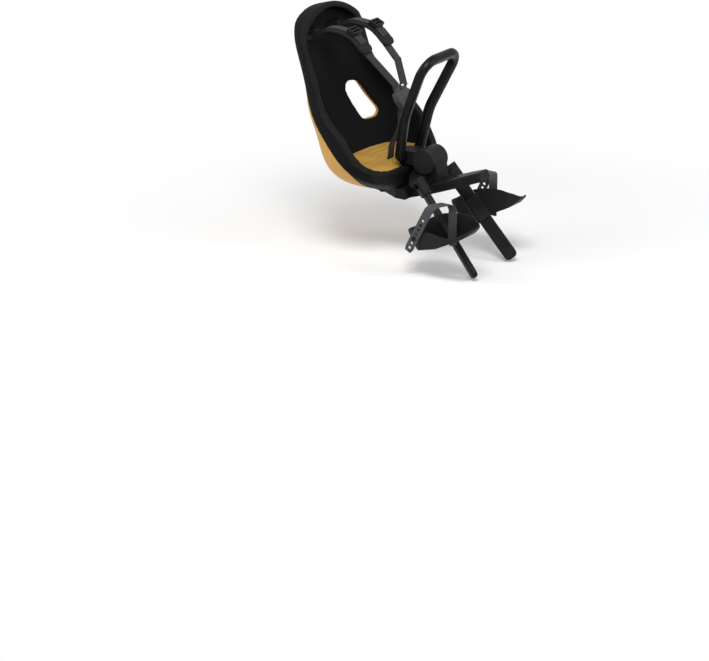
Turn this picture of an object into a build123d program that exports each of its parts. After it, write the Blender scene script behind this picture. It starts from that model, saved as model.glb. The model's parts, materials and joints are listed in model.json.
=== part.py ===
"""Front child seat for a bicycle: a bucket on a steerer clamp, with harness, grab bar and foot rests.

Millimetres. +X is the way the bicycle rides, +Y is the rider's left, +Z is up.
The origin is the centre of the steerer clamp's bore, and the clamp leans back with the steering axis.
"""

import math
import os

from build123d import *

os.makedirs("parts", exist_ok=True)

# Fits
FIT = 0.2  # clearance between pieces that slot together
SLIDE = 0.5  # clearance between pieces that move on each other
CUT_REACH = 300.0  # how far cutting tools reach past the model

# Steerer clamp
STEER_LEAN = 21.0  # degrees that the steering axis leans back
STEERER_R = 14.3  # half of a 28.6 mm steerer tube
CLAMP_H = 22.0
CLAMP_HALF_W = 34.0
CLAMP_REAR = 66.0  # behind the steering axis
CLAMP_NOSE = 88.0  # ahead of the steering axis
CLAMP_NOSE_HALF_W = 22.0
CLAMP_TAPER = 54.0  # length of the tapered nose
CLAMP_ROUND = 7.0
CLAMP_BEVEL = 3.5
CLAMP_SPLIT = 1.6  # gap between the bracket and its jaw
BOLT_R = 3.0
BOLT_HEAD_R = 5.0
BOLT_HEAD_H = 6.0
BOLT_SINK = 9.0  # depth of the bolt heads in the bracket's rear face
BOLT_GRIP = 24.0  # bolt thread in the jaw
BOLT_SPREAD = 24.0

# Dock that the seat drops onto, with its sliding latch
TENON_MID = 45.0  # behind the steering axis
TENON_L, TENON_HALF_W, TENON_H = 24.0, 11.0, 12.0
LATCH_T = 4.0
LATCH_LIFT = 5.0  # from the bracket's top to the latch plate
LATCH_BITE = 4.0  # depth of the notch that the plate locks in
LATCH_RAIL = 4.0
LATCH_END = 5.0
PRESS_W, PRESS_H = 16.0, 11.0
PRESS_PROUD, PRESS_SEAT = 5.0, 4.0
PRESS_TRAVEL = 4.4

# Carrier under and ahead of the seat
HUB_X, HUB_Z, HUB_R = -62.0, 44.0, 29.0
TOWER_HALF_W = 24.0
TOWER_HEEL = 1.0  # past the clamp's rear, where the tower's foot ends
TOWER_NOSE = 24.0  # behind the steering axis, where the tower's foot starts
TOWER_BACK = [(-88, 29), (-95, 14), (-102, -14), (-114, -32)]  # follows the front of the bucket
CAP_T, CAP_EDGE = 7.0, 2.0
AXLE_R, AXLE_BITE = 4.0, 4.0
CRADLE_PLAN = [(-214, 12), (-166, 22), (-124, 46), (-98, 46)]  # right half, a tongue under the bucket
CRADLE_LOW, CRADLE_TOP, CRADLE_ROUND = -47.0, -24.0, 10.0
SCREW_SPOTS = [(-174, 0), (-124, 28), (-124, -28)]
SCREW_R, SCREW_HEAD_R, SCREW_HEAD_H, SCREW_L = 2.5, 5.0, 3.0, 28.0
ARM_LOW, ARM_TOP = -5.0, 12.5
ARM_ROUTE = [(-66, 12), (-40, 52), (-40, 62), (-60, 70), (-78, 62), (-94, 34)]
LOOP_X, LOOP_R, LOOP_WIRE_R = -190.0, 8.0, 1.5

# Bucket: height, rear, widest station, front and half width of each level
SHELL_LEVELS = [
    (-37, -236, -190, -138, 30),
    (-20, -256, -196, -114, 90),
    (6, -274, -200, -105, 138),
    (40, -296, -200, -98, 162),
    (75, -314, -198, -94, 168),
    (115, -331, -206, -92, 170),
    (150, -342, -240, -110, 161),
    (200, -353, -286, -150, 136),
    (260, -373, -306, -180, 130),
    (310, -385, -328, -210, 123),
    (390, -397, -342, -230, 117),
]
HOLLOW_LEVELS = [
    (13, -248, -198, -122, 122),
    (40, -273, -200, -115, 142),
    (75, -294, -198, -110, 150),
    (115, -313, -206, -108, 152),
    (150, -324, -236, -120, 143),
    (200, -336, -280, -150, 119),
    (260, -352, -300, -180, 113),
    (310, -361, -318, -210, 106),
    (390, -370, -330, -230, 100),
]
LEVEL_POINTS = 12
SHELL_REAR_POWER, SHELL_FRONT_POWER = 2.25, 3.4
HOLLOW_REAR_POWER, HOLLOW_FRONT_POWER = 2.6, 3.4
SHELL_T = 3.5
SHELL_LIP = 2.0  # how far the foam stands proud of the shell
CROWN_X, CROWN_TILT = -340.0, 17.0  # the top falls away behind this station, by this many degrees
CROWN_TOP, CROWN_SHOULDER, CROWN_HALF_W = 368.0, 318.0, 121.0
CROWN_FLARE, CROWN_ROUND = 40.0, 52.0
CROWN_T = 15.0  # foam over the hollow at the top
RIM_LINE = [
    (-345, 392), (-326, 310), (-298, 228), (-243, 150),
    (-188, 100), (-150, 50), (-120, 29), (-60, 26),
]
SHELL_EDGE = [
    (-420, 338),
    (-372, 285),
    (-332, 215),
    (-294, 155),
    (-258, 110),
    (-210, 60),
    (-168, 21),
    (-128, -4),
    (-80, -18),
]
RIM_ROUND = 7.0
WINDOW = [(42, 171), (94, 167), (131, 83), (78, 78)]
WINDOW_ROUND = 17.0
WINDOW_BACK, WINDOW_FRONT = -420.0, -238.0

# Seat pad
PAD_T, PAD_GAP, PAD_ROUND = 16.0, 0.5, 4.0
NOTCH_TIP, NOTCH_MOUTH, NOTCH_HALF_W = -152.0, -106.0, 33.0

# Pommel and grab bar
POMMEL_TOP, POMMEL_GAP = 61.0, 1.0
STRAP_PLAY_T, STRAP_PLAY_W = 8.0, 4.0  # round the crotch webbing, in the hole it comes up through
POMMEL_LIP_X = -125.0  # where it steps up to cross the bucket's front lip
POMMEL_LIP_Z = 30.0
POMMEL_CHEEK = 24.0
BAR_X, BAR_Z, BAR_FOOT = -118.0, 47.0, 24.2
BAR_W, BAR_T, BAR_EDGE = 24.0, 21.0, 9.0
BAR_LEG = [(-118, -41, 47), (-98, -51, 148), (-36, -73, 286)]  # corners of the right leg
BAR_BENDS = [14.0, 150.0, 36.0]
BOSS_R = 13.0
STUB_R, STUB_L = 7.0, 13.0

# Harness
STRAP_W, STRAP_T = 25.0, 2.0
HARNESS_Y = 45.0
SLOT_Z, SLOT_W, SLOT_H, SLOT_DEPTH, SLOT_BEND = 300.0, 26.0, 3.0, 8.0, 8.0
BEZEL_W, BEZEL_H, BEZEL_BACK, BEZEL_FRONT = 50.0, 22.0, -366.0, -351.0
BEZEL_ROUND = 6.0
PADDLE_W, PADDLE_T, PADDLE_ROUND = 44.0, 8.0, 15.0
PADDLE = [(-340, 295), (-300, 318), (-244, 313), (-203, 276)]
PADDLE_BENDS = [60.0, 60.0]
ADJUSTER_L, ADJUSTER_W, ADJUSTER_H, ADJUSTER_BAR = 22.0, 34.0, 9.0, 4.0
BUCKLE_X, BUCKLE_Z, BUCKLE_LEAN = -134.0, 172.0, 24.0
BUCKLE_TOP_W, BUCKLE_LOW_W, BUCKLE_L, BUCKLE_T, BUCKLE_ROUND = 54.0, 34.0, 42.0, 16.0, 7.0
PUSH_Y = -6.0
BUCKLE_BEVEL = 2.5
PUSH_W, PUSH_L, PUSH_DEPTH, PUSH_PROUD, PUSH_TRAVEL = 20.0, 15.0, 7.0, 1.0, 3.0
TONGUE_X, TONGUE_W, TONGUE_T, TONGUE_BITE, TONGUE_OUT = 13.5, 21.0, 4.0, 12.0, 16.0
TONGUE_SLOT_H, TONGUE_BAR = 4.0, 3.0
SEWN = (-176.0, -38.0, 249.0)  # where the doubled webbing ends
SEWN_T = 3.8
CROTCH = [(-141, 112), (-166, 62), (-170, 14)]
CROTCH_BENDS = [60.0, 60.0]
TAIL_SHARE = 0.6  # how far down the pad's last run the webbing's tail reaches
CHEST_SHARE = 0.5  # where the chest webbing is sewn under that run

# Foot rests
STEM_W, STEM_T, STEM_EDGE, STEM_TIP_ROUND = 30.0, 14.0, 4.0, 11.0
STEM_TOP = (-52.0, -64.0, 10.0)
STEM_TIP = (113.0, -82.0, -180.0)
STEM_TURN = 45.0  # degrees that the ladder turns inward
RUNG_PITCH, RUNG_SLOT, RUNG_DEPTH, RUNG_W = 9.0, 5.0, 3.0, 17.0
RUNG_FIRST, RUNG_COUNT = 118.0, 13
SOCKET_WALL, SOCKET_L, SOCKET_CAP = 4.0, 36.0, 4.0
STEM_SCREW_AT, STEM_SCREW_L = 18.0, 16.0
SLEEVE_AT, SLEEVE_L, SLEEVE_WALL = 100.0, 62.0, 3.5
CUP_SOLE = [(-52, 60), (-50, -90), (-8, -125), (45, -110), (110, -77), (134, -54), (136, 60)]
CUP_PLAN = [
    (-50, 92), (-50, 112), (0, 140), (60, 148), (100, 146),
    (134, 124), (134, 98), (105, 80), (-28, 80),
]
CUP_PLAN_ROUND, CUP_SOLE_ROUND, CUP_WALL = 16.0, 9.0, 3.0
CUP_INNER_RIM = [
    (-70, -92), (-42, -86), (-15, -68), (16, -50),
    (60, -39), (95, -38), (120, -45), (150, -62),
]
CUP_OUTER_RIM = [(-70, -92), (-42, -84), (-8, -81), (30, -76), (62, -79), (90, -76), (116, -62), (150, -40)]
CUP_SCOOP = 108.0  # the low rim lies outside this
CUP_SLOT_H = 24.0  # height of the cut that takes the strap's root through the floor
FOOT_BAND_W, FOOT_BAND_T = 22.0, 3.0
FOOT_ROUTE = [(60, -97, -108), (60, -97, -12), (27, -138, -16), (-25, -148, -127)]
FOOT_BENDS = [18.0, 22.0]
HOLE_CUT = 20.0
CUP_SOLE_LOW = -60.0  # corners of the sole under this height are rounded
FOOT_STATIONS, FOOT_TAIL_W = 26, 15.0
HOLE_R, HOLE_PITCH, HOLE_COUNT, HOLE_FIRST = 3.2, 12.0, 7, 11.0
PEG_R, PEG_HEAD_R, PEG_HEAD_T, PEG_REACH, PEG_HOLE = 2.7, 4.6, 2.5, 16.0, 2
RIGHT_DROP, LEFT_DROP = 0.0, -18.0  # how far each foot rest is let down its stem, in whole rungs


def level_outline(rear, mid, front, half, rear_power, front_power):
    """Points round one level of the bucket: rounder behind its widest station than ahead of it."""
    points = []
    for step in range(LEVEL_POINTS):
        turn = 2 * math.pi * step / LEVEL_POINTS
        along, across = math.cos(turn), math.sin(turn)
        power = front_power if along > 0 else rear_power
        reach = front - mid if along > 0 else mid - rear
        x = mid + reach * math.copysign(abs(along) ** (2 / power), along)
        y = half * math.copysign(abs(across) ** (2 / power), across)
        points.append((x, y))
    return points


def bucket(levels, inset, rear_power, front_power):
    """A bucket form lofted through its levels, drawn in all round and underneath by the inset."""
    with BuildPart() as form:
        for number, (z, rear, mid, front, half) in enumerate(levels):
            lift = inset if number == 0 else 0
            outline = level_outline(rear + inset, mid, front - inset, half - inset, rear_power, front_power)
            with BuildSketch(Plane.XY.offset(z + lift)):
                with BuildLine():
                    Spline(*outline, periodic=True)
                make_face()
        loft()
    return form.part


def crown(inset):
    """Everything under the domed top of the backrest, which falls away to the rear."""
    tilt = math.radians(CROWN_TILT)
    rise = math.cos(tilt)
    front = Plane(origin=(CROWN_X, 0, 0), x_dir=(0, 1, 0), z_dir=(math.cos(tilt), 0, math.sin(tilt)))
    wide = CROWN_HALF_W - inset
    top, shoulder = (CROWN_TOP - inset) * rise, (CROWN_SHOULDER - inset) * rise
    far = wide + CROWN_HALF_W
    with BuildPart() as form:
        with BuildSketch(front) as view:
            with BuildLine():
                ThreePointArc((-wide, shoulder), (0, top), (wide, shoulder))
                flared = (wide + CROWN_FLARE, shoulder - CROWN_HALF_W)
                right = [(wide, shoulder), flared, (far, 0), (far, -2 * CUT_REACH)]
                Polyline(*right, *[(-y, z) for y, z in reversed(right)])
            make_face()
            fillet(view.vertices().sort_by(Axis.Y)[-2:], CROWN_ROUND - inset)
        extrude(amount=2 * CUT_REACH, both=True)
    return form.part


def side_cut(line, closing):
    """Everything on one side of a line drawn in the side view."""
    with BuildPart() as form:
        with BuildSketch(Plane.XZ):
            with BuildLine():
                edge = Spline(*line)
                Polyline(edge @ 1, *closing, edge @ 0)
            make_face()
        extrude(amount=CUT_REACH, both=True)
    return form.part


def band(plane, width, thickness, points, bends):
    """A strap: a bent strip drawn on a plane and given its width to both sides of it."""
    with BuildPart() as form:
        with BuildSketch(plane):
            with BuildLine():
                FilletPolyline(*points, radius=bends)
                offset(amount=thickness, side=Side.LEFT)
            make_face()
        extrude(amount=width / 2, both=True)
    return form.part


def direction(start, end):
    """Unit vector from one side-view point to another."""
    return Vector(end[0] - start[0], end[1] - start[1], 0).normalized()


def between(start, end, share):
    """Side-view point part of the way from one point to another."""
    return (start[0] + (end[0] - start[0]) * share, start[1] + (end[1] - start[1]) * share)


def beside(points, gap):
    """The corners of a route that keeps a gap to the left of another one."""
    corners = []
    for number, (x, z) in enumerate(points):
        before = direction(points[max(number - 1, 0)], points[max(number, 1)])
        last = len(points) - 1
        after = direction(points[min(number, last - 1)], points[min(number + 1, last)])
        middle = (before + after).normalized()
        reach = gap / before.dot(middle)
        corners.append((x - middle.Y * reach, z + middle.X * reach))
    return corners


def run(start, end, width, thickness):
    """A straight strap from one point to another, with its width as level as it can be."""
    way = Vector(*end) - Vector(*start)
    ahead = way.normalized()
    across = (Vector(0, 1, 0) - ahead * ahead.Y).normalized()
    with BuildPart() as form:
        with BuildSketch(Plane(origin=start, x_dir=across, z_dir=ahead)):
            Rectangle(width, thickness)
        extrude(amount=way.length)
    return form.part


def steer(along, above):
    """Side-view place of a point that lies along and above the steerer clamp."""
    x = along * math.cos(LEAN) - above * math.sin(LEAN)
    z = along * math.sin(LEAN) + above * math.cos(LEAN)
    return (x, z)


LEAN = math.radians(STEER_LEAN)
clamp_ahead = (math.cos(LEAN), 0, math.sin(LEAN))
clamp_up = (-math.sin(LEAN), 0, math.cos(LEAN))
CLAMP = Plane(origin=(0, 0, 0), x_dir=clamp_ahead, z_dir=clamp_up)
CLAMP_TOP = CLAMP_H / 2
LATCH_MID = CLAMP_TOP + LATCH_LIFT + LATCH_T / 2

# Bucket: one outer form, split into the yellow shell behind and the black foam that lines it
sky = CROWN_TOP + CUT_REACH
mouth = side_cut(RIM_LINE, [(CUT_REACH, RIM_LINE[-1][1]), (CUT_REACH, sky), (RIM_LINE[0][0], sky)])
rear = SHELL_EDGE[0][0] - CUT_REACH
below = (SHELL_EDGE[-1][0], -CUT_REACH)
behind = side_cut(SHELL_EDGE, [below, (rear, -CUT_REACH), (rear, SHELL_EDGE[0][1])])
whole = bucket(SHELL_LEVELS, 0, SHELL_REAR_POWER, SHELL_FRONT_POWER) & crown(0)
whole = whole - mouth
hollow = bucket(HOLLOW_LEVELS, 0, HOLLOW_REAR_POWER, HOLLOW_FRONT_POWER) & crown(CROWN_T)

with BuildPart() as windows:
    with BuildSketch(Plane.YZ.offset(WINDOW_BACK)) as pane:
        with BuildLine():
            Polyline(*WINDOW, close=True)
        make_face()
        fillet(pane.vertices(), WINDOW_ROUND)
        mirror(about=Plane.YZ)
    extrude(amount=WINDOW_FRONT - WINDOW_BACK)

with BuildPart() as base_screws:
    with BuildSketch(Plane.XY.offset(CRADLE_LOW)):
        with Locations(*SCREW_SPOTS):
            Circle(SCREW_R)
    extrude(amount=SCREW_L)
    with BuildSketch(Plane.XY.offset(CRADLE_LOW)):
        with Locations(*SCREW_SPOTS):
            Circle(SCREW_HEAD_R)
    extrude(amount=SCREW_HEAD_H)

with BuildPart() as screw_holes:
    with BuildSketch(Plane.XY.offset(CRADLE_LOW)):
        with Locations(*SCREW_SPOTS):
            Circle(SCREW_R + FIT)
    extrude(amount=SCREW_L + FIT)
    with BuildSketch(Plane.XY.offset(CRADLE_LOW)):
        with Locations(*SCREW_SPOTS):
            Circle(SCREW_HEAD_R + FIT)
    extrude(amount=SCREW_HEAD_H)

with BuildPart() as outer_shell:
    add(whole & bucket(SHELL_LEVELS, SHELL_LIP, SHELL_REAR_POWER, SHELL_FRONT_POWER) & behind)
    add(bucket(SHELL_LEVELS, SHELL_LIP + SHELL_T, SHELL_REAR_POWER, SHELL_FRONT_POWER), mode=Mode.SUBTRACT)
    add(windows.part, mode=Mode.SUBTRACT)
    add(screw_holes.part, mode=Mode.SUBTRACT)

with BuildPart() as slot_cuts:
    with BuildSketch(Plane.YZ.offset(BEZEL_BACK)):
        with Locations((HARNESS_Y, SLOT_Z), (-HARNESS_Y, SLOT_Z)):
            RectangleRounded(BEZEL_W + 2 * FIT, BEZEL_H + 2 * FIT, BEZEL_ROUND + FIT)
    extrude(amount=CUT_REACH)
    with BuildSketch(Plane.YZ.offset(BEZEL_BACK - SLOT_DEPTH)):
        with Locations((HARNESS_Y, SLOT_Z), (-HARNESS_Y, SLOT_Z)):
            Rectangle(SLOT_W, SLOT_H)
    extrude(amount=SLOT_DEPTH)

with BuildPart() as foam_liner:
    skin = whole - bucket(SHELL_LEVELS, SHELL_LIP + SHELL_T + FIT, SHELL_REAR_POWER, SHELL_FRONT_POWER)
    add(whole)
    rim = foam_liner.faces().filter_by(GeomType.EXTRUSION).edges()
    fillet(rim.filter_by(lambda edge: abs((edge @ 0.5).Y) > RIM_ROUND), RIM_ROUND)
    add(hollow, mode=Mode.SUBTRACT)
    add(skin & behind, mode=Mode.SUBTRACT)
    add(windows.part, mode=Mode.SUBTRACT)
    add(slot_cuts.part, mode=Mode.SUBTRACT)
    add(screw_holes.part, mode=Mode.SUBTRACT)

# Seat pad: fills the pan and leaves a notch for the pommel
with BuildPart() as seat_pad:
    pan = HOLLOW_LEVELS[0][0]
    with BuildSketch(Plane.XY.offset(pan + PAD_GAP)):
        Rectangle(2 * CUT_REACH, 2 * CUT_REACH)
    extrude(amount=PAD_T)
    lining = bucket(HOLLOW_LEVELS[:4], PAD_GAP, HOLLOW_REAR_POWER, HOLLOW_FRONT_POWER)
    add(lining, mode=Mode.INTERSECT)
    fillet(seat_pad.faces().sort_by(Axis.Z)[-1].edges(), PAD_ROUND)
    with BuildSketch(Plane.XY.offset(pan)):
        with BuildLine():
            Polyline((NOTCH_TIP, 0), (NOTCH_MOUTH, NOTCH_HALF_W), (NOTCH_MOUTH, -NOTCH_HALF_W), close=True)
        make_face()
    extrude(amount=CUT_REACH, mode=Mode.SUBTRACT)
    with BuildSketch(Plane.XY.offset(pan)):
        with Locations((CROTCH[-1][0], 0)):
            Rectangle(STRAP_T + STRAP_PLAY_T, STRAP_W + STRAP_PLAY_W)
    extrude(amount=CUT_REACH, mode=Mode.SUBTRACT)

# Pommel: a wedge in the pad's notch that crosses the front lip and sits on the hub
slope = NOTCH_HALF_W / (NOTCH_MOUTH - NOTCH_TIP)
pommel_tip = NOTCH_TIP + 2 * POMMEL_GAP / slope
with BuildPart() as pommel:
    with BuildSketch(Plane.XZ):
        with BuildLine():
            Polyline(
                (pommel_tip, HOLLOW_LEVELS[0][0] + FIT),
                (POMMEL_LIP_X, HOLLOW_LEVELS[0][0] + FIT),
                (POMMEL_LIP_X, POMMEL_LIP_Z),
                (HUB_X, POMMEL_LIP_Z),
                (HUB_X, POMMEL_TOP),
                (BAR_X - BOSS_R, POMMEL_TOP),
                (pommel_tip, POMMEL_LIP_Z),
                close=True,
            )
        make_face()
    extrude(amount=POMMEL_CHEEK, both=True)
    with BuildSketch(Plane.XY.offset(HOLLOW_LEVELS[0][0])):
        with BuildLine():
            flank = pommel_tip + POMMEL_CHEEK / slope
            right = [(pommel_tip, 0), (flank, -POMMEL_CHEEK), (HUB_X, -POMMEL_CHEEK)]
            Polyline(*right, *[(x, -y) for x, y in reversed(right)])
        make_face()
    extrude(amount=CUT_REACH, mode=Mode.INTERSECT)
    with BuildSketch(Plane.XZ):
        with Locations((BAR_X, BAR_Z)):
            Circle(BOSS_R)
    extrude(amount=POMMEL_CHEEK, both=True)
    with BuildSketch(Plane.XZ):
        with Locations((HUB_X, HUB_Z)):
            Circle(HUB_R + FIT)
        with Locations((HUB_X + CUT_REACH / 2, HUB_Z)):
            Rectangle(CUT_REACH, CUT_REACH)
    extrude(amount=CUT_REACH, both=True, mode=Mode.SUBTRACT)
    with BuildSketch(Plane.XZ):
        with Locations((BAR_X, BAR_Z)):
            Circle(STUB_R)
    extrude(amount=CUT_REACH, both=True, mode=Mode.SUBTRACT)
    with BuildSketch(Plane.XZ):
        with Locations((BAR_X, BAR_Z)):
            Circle(STUB_R)
    extrude(amount=BAR_FOOT - STUB_L, both=True)

# Grab bar: half a loop swept up one leg to the crest, then mirrored
GRIP = Plane(origin=(BAR_X, -BAR_FOOT, BAR_Z), x_dir=(1, 0, 0), z_dir=(0, -1, 0))
crest_x, _, crest_z = BAR_LEG[-1]
with BuildPart() as handle_bar:
    with BuildLine() as route:
        FilletPolyline(GRIP.origin, *BAR_LEG, (crest_x, 0, crest_z), radius=BAR_BENDS)
    with BuildSketch(GRIP):
        RectangleRounded(BAR_T, BAR_W, BAR_EDGE)
    sweep(path=route.wire())
    with BuildSketch(GRIP):
        Circle(STUB_R)
    extrude(amount=-STUB_L)
    mirror(about=Plane.XZ)

# Steerer clamp: a bracket with the dock tenon, and a jaw
with BuildPart() as clamp_block:
    with BuildSketch(CLAMP.offset(-CLAMP_H / 2)) as plan:
        with BuildLine():
            taper = (CLAMP_NOSE - CLAMP_TAPER, -CLAMP_HALF_W)
            right = [(-CLAMP_REAR, -CLAMP_HALF_W), taper, (CLAMP_NOSE, -CLAMP_NOSE_HALF_W)]
            Polyline(*right, *[(u, -v) for u, v in reversed(right)], close=True)
        make_face()
        fillet(plan.vertices(), CLAMP_ROUND)
    extrude(amount=CLAMP_H)
    chamfer(clamp_block.faces().filter_by(Axis((0, 0, 0), CLAMP.z_dir)).edges(), CLAMP_BEVEL)
    with BuildSketch(CLAMP.offset(-CLAMP_H)):
        Circle(STEERER_R)
    extrude(amount=2 * CLAMP_H, mode=Mode.SUBTRACT)

BOLT_END = Plane(origin=CLAMP.from_local_coords((-CLAMP_REAR, 0, 0)), x_dir=(0, 1, 0), z_dir=CLAMP.x_dir)
with BuildPart() as clamp_bolts:
    with BuildSketch(BOLT_END.offset(BOLT_SINK - BOLT_HEAD_H)):
        with Locations((BOLT_SPREAD, 0), (-BOLT_SPREAD, 0)):
            Circle(BOLT_HEAD_R)
    extrude(amount=BOLT_HEAD_H)
    with BuildSketch(BOLT_END.offset(BOLT_SINK)):
        with Locations((BOLT_SPREAD, 0), (-BOLT_SPREAD, 0)):
            Circle(BOLT_R)
    extrude(amount=CLAMP_REAR - BOLT_SINK + BOLT_GRIP)

with BuildPart() as bolt_holes:
    with BuildSketch(BOLT_END):
        with Locations((BOLT_SPREAD, 0), (-BOLT_SPREAD, 0)):
            Circle(BOLT_HEAD_R + FIT)
    extrude(amount=BOLT_SINK)
    with BuildSketch(BOLT_END):
        with Locations((BOLT_SPREAD, 0), (-BOLT_SPREAD, 0)):
            Circle(BOLT_R + FIT)
    extrude(amount=CLAMP_REAR + BOLT_GRIP + FIT)

with BuildPart() as steerer_bracket:
    add(clamp_block.part)
    with BuildSketch(CLAMP.offset(-CLAMP_H)):
        with Locations((CUT_REACH / 2 - CLAMP_SPLIT / 2, 0)):
            Rectangle(CUT_REACH, CUT_REACH)
    extrude(amount=2 * CLAMP_H, mode=Mode.SUBTRACT)
    with BuildSketch(CLAMP.offset(CLAMP_TOP)):
        with Locations((-TENON_MID, 0)):
            Rectangle(TENON_L, 2 * TENON_HALF_W)
    extrude(amount=TENON_H)
    with BuildSketch(CLAMP.offset(CLAMP_TOP + LATCH_LIFT - SLIDE)):
        with Locations((-TENON_MID, TENON_HALF_W)):
            Rectangle(2 * TENON_L, 2 * LATCH_BITE)
    extrude(amount=LATCH_T + 2 * SLIDE, mode=Mode.SUBTRACT)
    add(bolt_holes.part, mode=Mode.SUBTRACT)

with BuildPart() as bracket_jaw:
    add(clamp_block.part)
    with BuildSketch(CLAMP.offset(-CLAMP_H)):
        with Locations((-CUT_REACH / 2 + CLAMP_SPLIT / 2, 0)):
            Rectangle(CUT_REACH, CUT_REACH)
    extrude(amount=2 * CLAMP_H, mode=Mode.SUBTRACT)
    add(bolt_holes.part, mode=Mode.SUBTRACT)

# Latch: a button with a plate whose window locks in the tenon's notch
LATCH = CLAMP.offset(LATCH_MID)
latch_half = TENON_L / 2 + SLIDE + LATCH_RAIL
lock_edge = TENON_HALF_W - LATCH_BITE + FIT
open_edge = -TENON_HALF_W - PRESS_TRAVEL - SLIDE
face = -TOWER_HALF_W - PRESS_PROUD
with BuildPart() as release_button:
    with BuildSketch(LATCH.offset(-LATCH_T / 2)):
        with Locations((-TENON_MID, (lock_edge + LATCH_END - TOWER_HALF_W + PRESS_SEAT) / 2)):
            Rectangle(2 * latch_half, lock_edge + LATCH_END + TOWER_HALF_W - PRESS_SEAT)
        with Locations((-TENON_MID, (lock_edge + open_edge) / 2)):
            Rectangle(TENON_L + 2 * SLIDE, lock_edge - open_edge, mode=Mode.SUBTRACT)
    extrude(amount=LATCH_T)
    with BuildSketch(LATCH.offset(-PRESS_H / 2)):
        with Locations((-TENON_MID, (face - TOWER_HALF_W + PRESS_SEAT) / 2)):
            Rectangle(PRESS_W, PRESS_PROUD + PRESS_SEAT)
    extrude(amount=PRESS_H)

# Carrier: tower with the hub, plate under the bucket, arms and stem sockets
stem_way = Vector(*STEM_TIP) - Vector(*STEM_TOP)
STEM_L = stem_way.length
STEM_DOWN = stem_way.normalized()
stem_ahead = (Vector(1, 0, 0) - STEM_DOWN * STEM_DOWN.X).normalized()
stem_inward = stem_ahead.cross(STEM_DOWN)
turn = math.radians(STEM_TURN)
stem_front = stem_ahead * math.cos(turn) + stem_inward * math.sin(turn)
STEM = Plane(origin=STEM_TOP, x_dir=stem_front, z_dir=STEM_DOWN)
STEM_FACE = Plane(origin=STEM_TOP, x_dir=STEM_DOWN, z_dir=STEM.x_dir)

with BuildPart() as stem_sockets:
    with BuildSketch(STEM.offset(-SOCKET_CAP)):
        wall = 2 * FIT + 2 * SOCKET_WALL
        RectangleRounded(STEM_T + wall, STEM_W + wall, STEM_EDGE + SOCKET_WALL)
    extrude(amount=SOCKET_L + SOCKET_CAP)
    mirror(about=Plane.XZ)

with BuildPart() as stem_holes:
    with BuildSketch(STEM.offset(-FIT)):
        RectangleRounded(STEM_T + 2 * FIT, STEM_W + 2 * FIT, STEM_EDGE)
    extrude(amount=SOCKET_L + CUT_REACH)
    mirror(about=Plane.XZ)

stem_out = STEM_T / 2 + FIT + SOCKET_WALL
with BuildPart() as stem_screws:
    with BuildSketch(STEM_FACE.offset(stem_out)):
        with Locations((STEM_SCREW_AT, 0)):
            Circle(SCREW_HEAD_R)
    extrude(amount=SCREW_HEAD_H)
    with BuildSketch(STEM_FACE.offset(stem_out)):
        with Locations((STEM_SCREW_AT, 0)):
            Circle(SCREW_R)
    extrude(amount=-STEM_SCREW_L)
    mirror(about=Plane.XZ)

with BuildPart() as stem_screw_holes:
    with BuildSketch(STEM_FACE.offset(stem_out)):
        with Locations((STEM_SCREW_AT, 0)):
            Circle(SCREW_R + FIT)
    extrude(amount=-STEM_SCREW_L - FIT)
    mirror(about=Plane.XZ)

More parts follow.
